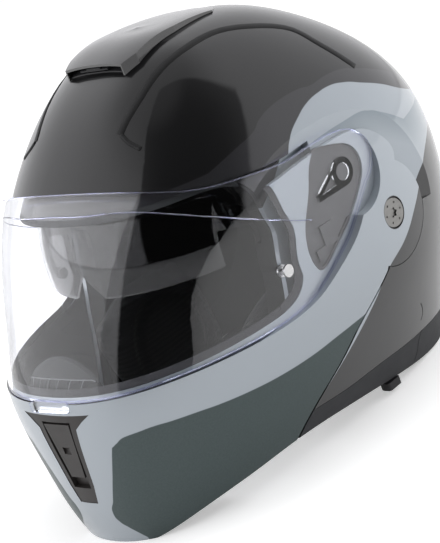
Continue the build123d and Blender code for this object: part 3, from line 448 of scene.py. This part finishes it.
def creased(piece, seams, depth, width):
    """Presses sewn channels into the piece. Each seam is a function that gives the distance to it."""
    piece.data.update()
    for vertex in piece.data.vertices:
        for distance in seams:
            near = abs(distance(vertex.co)) / width
            if near < 1.0:
                vertex.co -= vertex.normal * depth * (1.0 - near * near) ** 2
    return piece


def inside_box(piece, node):
    """Keeps the piece within its node's own box and an allowance."""
    low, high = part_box(node)
    for vertex in piece.data.vertices:
        for axis in range(3):
            vertex.co[axis] = min(max(vertex.co[axis], low[axis] - BOX_ALLOWANCE), high[axis] + BOX_ALLOWANCE)
    return piece


def finished(piece, material, body, node=None):
    """Gives the piece its material and its body, and hides the node it stands for."""
    for face in piece.data.polygons:
        face.use_smooth = True
    piece.data.materials.append(material)
    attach(piece, body)
    if node:
        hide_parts(node)
    return piece


def cushion(node, body, material, seams, voxel=0.005, cap=0.002, depth=0.0022, width=0.004):
    """A sewn pad in place of its node."""
    piece = remeshed(copy_of(node, node + "_soft"), voxel)
    relax = piece.modifiers.new("relax", "SMOOTH")
    relax.factor = 0.5
    relax.iterations = 4
    applied(piece)
    puffed(piece, cap)
    refine = piece.modifiers.new("refine", "SUBSURF")
    refine.levels = 1
    refine.render_levels = 1
    applied(piece)
    creased(piece, seams, depth, width)
    inside_box(piece, node)
    finished(piece, material, body, node)
    return piece


CHEEK_MIDDLE = (-0.020, 0.062)
CHEEK_SEAMS = (0.030, 0.048)
CROWN_SEAM_SIDE = 0.028
CROWN_SEAM_FRONT = 0.005
CROWN_SEAM_BACK = 0.045
NECK_SEAM_SIDE = 0.045
CHIN_SEAM_SIDE = 0.034
CHIN_SEAM_HEIGHT = 0.072


def arc_seam(radius):
    return lambda point: ((point.y - CHEEK_MIDDLE[0]) ** 2 + (point.z - CHEEK_MIDDLE[1]) ** 2) ** 0.5 - radius


def side_seam(side):
    return lambda point: abs(point.x) - side


def level_seam(axis, place):
    return lambda point: point[axis] - place


cushion("crown_pad", "helmet", lining,
        [side_seam(CROWN_SEAM_SIDE), level_seam(1, CROWN_SEAM_BACK), level_seam(1, CROWN_SEAM_FRONT)])
for side in LEFT_RIGHT:
    cushion("cheek_pad" + side, "helmet", ribbed_lining, [arc_seam(radius) for radius in CHEEK_SEAMS])
cushion("neck_roll", "helmet", lining, [level_seam(0, 0.0), side_seam(NECK_SEAM_SIDE)])
cushion("chin_bar_liner", "chin_bar", lining,
        [level_seam(2, CHIN_SEAM_HEIGHT), side_seam(CHIN_SEAM_SIDE)], cap=0.0012)
cushion("chin_curtain", "chin_bar", lining, [], voxel=0.002, cap=0.0004)


# Fine lines and webbing


def surface_of(piece):
    """A search tree over a piece's mesh, in the row's frame."""
    work = bmesh.new()
    work.from_mesh(piece.data)
    tree = BVHTree.FromBMesh(work)
    work.free()
    return tree


def smooth_path(points, steps=8):
    """Points along a smooth line through the given points, which are in millimetres."""
    path = [Vector(point) * MM for point in points]
    ends = [path[0] * 2 - path[1]] + path + [path[-1] * 2 - path[-2]]
    line = []
    for index in range(1, len(ends) - 2):
        before, here, after, beyond = ends[index - 1:index + 3]
        for step in range(steps):
            share = step / steps
            line.append(0.5 * (2 * here + (after - before) * share
                               + (2 * before - 5 * here + 4 * after - beyond) * share ** 2
                               + (3 * here - before - 3 * after + beyond) * share ** 3))
    line.append(path[-1])
    return line


def other_side(points):
    return [(-x, y, z) for x, y, z in points]


def ribbon(name, tree, points, section, material, body, steps=8):
    """A strip along a line over a surface. The section gives places across and above it, in millimetres."""
    line = smooth_path(points, steps)
    found = [tree.find_nearest(point) for point in line]
    places = [hit[0] for hit in found]
    work = bmesh.new()
    rows = []
    for index, place in enumerate(places):
        ahead = places[min(index + 1, len(places) - 1)] - places[max(index - 1, 0)]
        normal = found[index][1]
        across = normal.cross(ahead).normalized()
        rows.append([work.verts.new(place + across * side * MM + normal * up * MM) for side, up in section])
    for first, second in zip(rows, rows[1:]):
        for index in range(len(section)):
            following = (index + 1) % len(section)
            work.faces.new((first[index], first[following], second[following], second[index]))
    work.faces.new(rows[0])
    work.faces.new(list(reversed(rows[-1])))
    bmesh.ops.recalc_face_normals(work, faces=work.faces)
    mesh = bpy.data.meshes.new(name)
    work.to_mesh(mesh)
    work.free()
    piece = bpy.data.objects.new(name, mesh)
    bpy.context.scene.collection.objects.link(piece)
    return finished(piece, material, body)


def ribbon_pair(name, tree, points, section, material, body):
    """The same strip on the left side and, mirrored, on the right side."""
    ribbon(name + "_left", tree, points, section, material, body)
    mirrored = [(-side, up) for side, up in reversed(section)]
    ribbon(name + "_right", tree, other_side(points), mirrored, material, body)


def threads(name, lines, radius, material, body):
    """One curve piece of round threads."""
    curve = bpy.data.curves.new(name, "CURVE")
    curve.dimensions = "3D"
    curve.bevel_depth = radius
    curve.bevel_resolution = 2
    curve.use_fill_caps = True
    for line in lines:
        spline = curve.splines.new("POLY")
        spline.points.add(len(line) - 1)
        for point, place in zip(spline.points, line):
            point.co = (*place, 1.0)
    curve.materials.append(material)
    piece = bpy.data.objects.new(name, curve)
    bpy.context.scene.collection.objects.link(piece)
    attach(piece, body)
    return piece


def webbing_strap(node, material):
    """A flat woven strap with soft edges, straight from its closed solid."""
    piece = copy_of(node, node + "_webbing")
    edge = piece.modifiers.new("edge", "BEVEL")
    edge.width = STRAP_EDGE
    edge.segments = 2
    edge.limit_method = "ANGLE"
    applied(piece)
    return finished(piece, material, "helmet", node)


def edges_left(vertex, left):
    """The numbers of the vertex's edges that no chain has yet."""
    return [edge.index for edge in vertex.link_edges if edge.index in left]


def sharp_loops(node):
    """The long chains of sharp edges of a CAD node, each grown from both ends of its first edge."""
    work = bmesh.new()
    work.from_mesh(nodes[node].data)
    bmesh.ops.remove_doubles(work, verts=work.verts, dist=WELD)
    work.edges.index_update()
    left = {edge.index: edge for edge in work.edges
            if len(edge.link_faces) == 2 and edge.calc_face_angle(0.0) > SHARP_ANGLE}
    chains = []
    while left:
        chain = list(left.pop(next(iter(left))).verts)
        for _ in range(2):
            near = edges_left(chain[-1], left)
            while near:
                chain.append(left.pop(near[0]).other_vert(chain[-1]))
                near = edges_left(chain[-1], left)
            chain.reverse()
        chains.append([vertex.co.copy() for vertex in chain])
    work.free()
    return [chain for chain in chains
            if sum((b - a).length for a, b in zip(chain, chain[1:])) > SHORTEST_RIM]


# Lines over the surfaces and the strips' sections, in millimetres

CROWN_RIDGE = ((42, -71, 229), (43, -64, 234), (46, -51, 242), (48, -31, 251), (51, -9, 256), (52, 17, 255),
               (58, 40, 249), (65, 64, 236), (77, 72, 221), (89, 82, 200))
RIDGE_HOOK = ((42, -71, 229), (46, -72.5, 226), (49, -73, 224), (56.5, -73, 220))
RIDGE_SECTION = ((-1.8, -0.2), (-1.2, 0.35), (3.2, 0.35), (3.8, -0.2))
HOOK_SECTION = ((-2.0, -0.3), (-0.3, 0.8), (0.3, 0.8), (2.0, -0.3))
VISOR_CREASE = ((0, -117, 200), (30, -113, 197), (58, -101, 192), (91, -78, 177), (108, -51, 161),
                (116, -29, 149), (118, -16, 143))
LINE_SECTION = ((-0.35, -0.1), (0.0, 0.18), (0.35, -0.1))
SLOT_SECTION = ((-0.8, -0.1), (0.0, 0.15), (0.8, -0.1))
PIPING_SECTION = ((-0.5, -0.1), (0.0, 0.3), (0.5, -0.1))
TICK = ((112, -1, 184), (112, 0, 179))
CHIN_PIPING = ((-33, -150, 107), (-18, -153, 108), (0, -154, 108.5), (18, -153, 108), (33, -150, 107))
CHIN_SEAMS = (-27, -18, -9, 1, 12, 23)
REAR_SLOT = ((95, 60.5, 45), (92.5, 62.6, 40), (91, 62.6, 36), (90, 60.2, 33))
TRIM_SEAM = ((87, 61.7, 26), (84.6, 57.7, 20), (81.5, 55.4, 12), (79, 52, 7))

# Sizes of the finest pieces, in metres

STRAP_EDGE = 0.0005
RIM_RADIUS = 0.00022
SHORTEST_RIM = 0.06
SHARP_ANGLE = radians(50)

shell = surface_of(nodes["outer_shell"])
visor = surface_of(nodes["visor_shield"])
chin = surface_of(nodes["chin_bar_shell"])
trim = surface_of(nodes["shell_edge_trim"])
padding = surface_of(nodes["breath_deflector"])

# Near-black matte strips: a printed tick and a seam, and painted shade along the crown ridge and in the rear
# slot.
dark_mark_and_painted_shade = plastic("dark_mark_and_painted_shade", tone(0.006, 0.006, 0.0065), 0.55)
rim_light = clear("rim_light", tone(0.72, 0.74, 1.0), 0.1, tone(0.9, 0.9, 1.0), 1.3)
thread = fabric("thread", tone(0.30, 0.31, 0.33), tone(0.4, 0.4, 0.42))

# The crown ridge and its hook: low raised strips whose near-black colour is painted shade along the ridge.
ribbon_pair("crown_ridge", shell, CROWN_RIDGE, RIDGE_SECTION, dark_mark_and_painted_shade, "helmet")
ribbon_pair("ridge_hook", shell, RIDGE_HOOK, HOOK_SECTION, dark_mark_and_painted_shade, "helmet")
threads("visor_rim", sharp_loops("visor_shield"), RIM_RADIUS, rim_light, "visor")
visor_line = list(reversed(other_side(VISOR_CREASE)))[:-1] + list(VISOR_CREASE)
ribbon("visor_crease", visor, visor_line, LINE_SECTION, rim_light, "visor")
ribbon("index_tick", chin, TICK, LINE_SECTION, dark_mark_and_painted_shade, "chin_bar", 2)
# The rear slot: a thin raised strip whose dark colour is painted shade inside the slot.
ribbon_pair("rear_slot", shell, REAR_SLOT, SLOT_SECTION, dark_mark_and_painted_shade, "helmet")
ribbon_pair("trim_seam", trim, TRIM_SEAM, LINE_SECTION, dark_mark_and_painted_shade, "helmet")
ribbon("chin_piping", padding, CHIN_PIPING, PIPING_SECTION, thread, "chin_bar")
for number, x in enumerate(CHIN_SEAMS):
    seam = ((x, -153, 108), (x - 2, -155, 105), (x - 4, -157, 102))
    ribbon("chin_seam_%d" % number, padding, seam, PIPING_SECTION, thread, "chin_bar", 4)
for side in LEFT_RIGHT:
    webbing_strap("chin_strap" + side, webbing)


# The camera stands where the photograph was taken from

VIEW_TURN = 0.835134
VIEW_PITCH = 0.476860
VIEW_ROLL = 0.011791
VIEW_TARGET = Vector((0.0, 0.004, 0.135))
VIEW_SHIFT = (-0.0043716, 0.0322141)
VIEW_DISTANCE = 1.3481788
FOCAL_PIXELS = 2104.0
LONG_SIDE_PIXELS = 543.0
SENSOR = 36.0

right = Vector((cos(VIEW_TURN), sin(VIEW_TURN) * cos(VIEW_PITCH), -sin(VIEW_TURN) * sin(VIEW_PITCH)))
up = Vector((0.0, sin(VIEW_PITCH), cos(VIEW_PITCH)))
back = Vector((sin(VIEW_TURN), -cos(VIEW_TURN) * cos(VIEW_PITCH), cos(VIEW_TURN) * sin(VIEW_PITCH)))
turned_right = cos(VIEW_ROLL) * right - sin(VIEW_ROLL) * up
turned_up = sin(VIEW_ROLL) * right + cos(VIEW_ROLL) * up
place = VIEW_TARGET - VIEW_SHIFT[0] * turned_right - VIEW_SHIFT[1] * turned_up + VIEW_DISTANCE * back
camera_data = bpy.data.cameras.new("camera")
camera_data.sensor_width = SENSOR
camera_data.lens = FOCAL_PIXELS / LONG_SIDE_PIXELS * SENSOR
camera = bpy.data.objects.new("camera", camera_data)
camera.matrix_world = Matrix((
    (turned_right.x, turned_up.x, back.x, place.x),
    (turned_right.y, turned_up.y, back.y, place.y),
    (turned_right.z, turned_up.z, back.z, place.z),
    (0.0, 0.0, 0.0, 1.0)))
bpy.context.scene.collection.objects.link(camera)
bpy.context.scene.camera = camera


# Floor, world and lamps. The turns start at the face and go toward the wearer's left

FLOOR_RADIUS = 4.0
FLOOR_TONE = tone(0.86, 0.86, 0.86)
FLOOR_GLOW_SEEN = 0.42
FLOOR_GLOW_BY_GLOSS = 0.2
DARK_SIDE_START = radians(4.0)
DARK_SIDE_END_LEVEL = radians(97.0)
DARK_SIDE_END_STEEP = radians(142.0)
STEEP_RISE = 1.2
OVERHEAD = 0.96
OVERHEAD_SHARE = 0.6
TOP_BOX_LOW = 0.84
SIDE_BOX = tone(0.85, 0.85, 0.87)
TOP_BOX = tone(0.45, 0.45, 0.46)
DARK_SIDE = tone(0.012, 0.012, 0.012)
SOFT_FILL = tone(0.46, 0.46, 0.47)
LAMP_AIM = Vector((0.0, 0.0, 0.15))


def ray_shares(graph):
    """1 for rays that show the background straight or through glass, and 1 for rays that show it by gloss."""
    path = graph.add("ShaderNodeLightPath").outputs
    scattered = graph.step(path["Diffuse Depth"], 0.5)
    reflected = graph.step(path["Glossy Depth"], 0.5)
    clean = graph.maths("SUBTRACT", 1.0, scattered)
    return graph.both(clean, graph.maths("SUBTRACT", 1.0, reflected)), graph.both(clean, reflected)


def make_floor():
    work = bmesh.new()
    bmesh.ops.create_circle(work, cap_ends=True, segments=96, radius=FLOOR_RADIUS)
    mesh = bpy.data.meshes.new("floor")
    work.to_mesh(mesh)
    work.free()
    floor = bpy.data.objects.new("floor", mesh)
    bpy.context.scene.collection.objects.link(floor)
    graph = Graph(bpy.data.materials.new("floor"))
    seen, by_gloss = ray_shares(graph)
    seen_glow = graph.both(seen, FLOOR_GLOW_SEEN)
    strength = graph.maths("ADD", seen_glow, graph.both(by_gloss, FLOOR_GLOW_BY_GLOSS))
    cover = graph.add("ShaderNodeBsdfDiffuse", {"Color": FLOOR_TONE})
    glow = graph.add("ShaderNodeEmission", {"Color": WHITE, "Strength": strength})
    both = graph.add("ShaderNodeAddShader", {0: cover.outputs[0], 1: glow.outputs[0]})
    graph.put(graph.output.inputs["Surface"], both.outputs[0])
    mesh.materials.append(graph.material)


def make_world():
    """White behind the helmet. Its gloss shows a light studio with one dark side, where the camera stands."""
    world = bpy.data.worlds.new("studio")
    bpy.context.scene.world = world
    graph = Graph(world, "ShaderNodeOutputWorld", "Generated")
    x, y, z = graph.axes()
    turn = graph.maths("ARCTAN2", x, graph.maths("MULTIPLY", y, -1.0))
    level = graph.maths("ADD", graph.squared(x, 0.0), graph.squared(y, 0.0))
    rise = graph.maths("MINIMUM", graph.maths("DIVIDE", graph.squared(z, 0.0), level), STEEP_RISE)
    back_edge = graph.spread(rise, DARK_SIDE_END_LEVEL, DARK_SIDE_END_STEEP)
    past_front = graph.step(turn, DARK_SIDE_START, radians(1.5))
    before_back = graph.over(back_edge, turn, radians(3.0))
    overhead = graph.spread(graph.step(z, OVERHEAD, 0.03), 1.0, OVERHEAD_SHARE)
    gap = graph.both(graph.both(past_front, before_back), overhead)
    boxes = graph.mix(graph.step(z, TOP_BOX_LOW, 0.12), SIDE_BOX, TOP_BOX)
    seen, by_gloss = ray_shares(graph)
    studio = graph.mix(gap, boxes, DARK_SIDE)
    around = graph.mix(by_gloss, SOFT_FILL, studio)
    colour = graph.mix(seen, around, WHITE)
    background = graph.add("ShaderNodeBackground", {"Color": colour})
    graph.put(graph.output.inputs["Surface"], background.outputs[0])


def lamp(name, turn, distance, height, size, power):
    """A soft box that stands round the helmet, turned from its face toward the wearer's left."""
    data = bpy.data.lights.new(name, "AREA")
    data.shape = "RECTANGLE"
    data.size, data.size_y = size
    data.energy = power
    light = bpy.data.objects.new(name, data)
    angle = radians(turn)
    light.location = (distance * sin(angle), -distance * cos(angle), height)
    aim = light.location - LAMP_AIM
    light.rotation_euler = aim.to_track_quat("Z", "Y").to_euler()
    light.visible_glossy = False
    bpy.context.scene.collection.objects.link(light)


make_floor()
make_world()
lamp("face_box", -48.0, 1.6, 1.1, (2.6, 2.4), 24.0)
lamp("back_box", 150.0, 1.7, 0.9, (2.6, 2.2), 24.0)
lamp("top_box", 150.0, 0.5, 2.2, (1.4, 1.4), 9.0)

bpy.context.scene.view_settings.view_transform = "Standard"
bpy.context.view_layer.update()
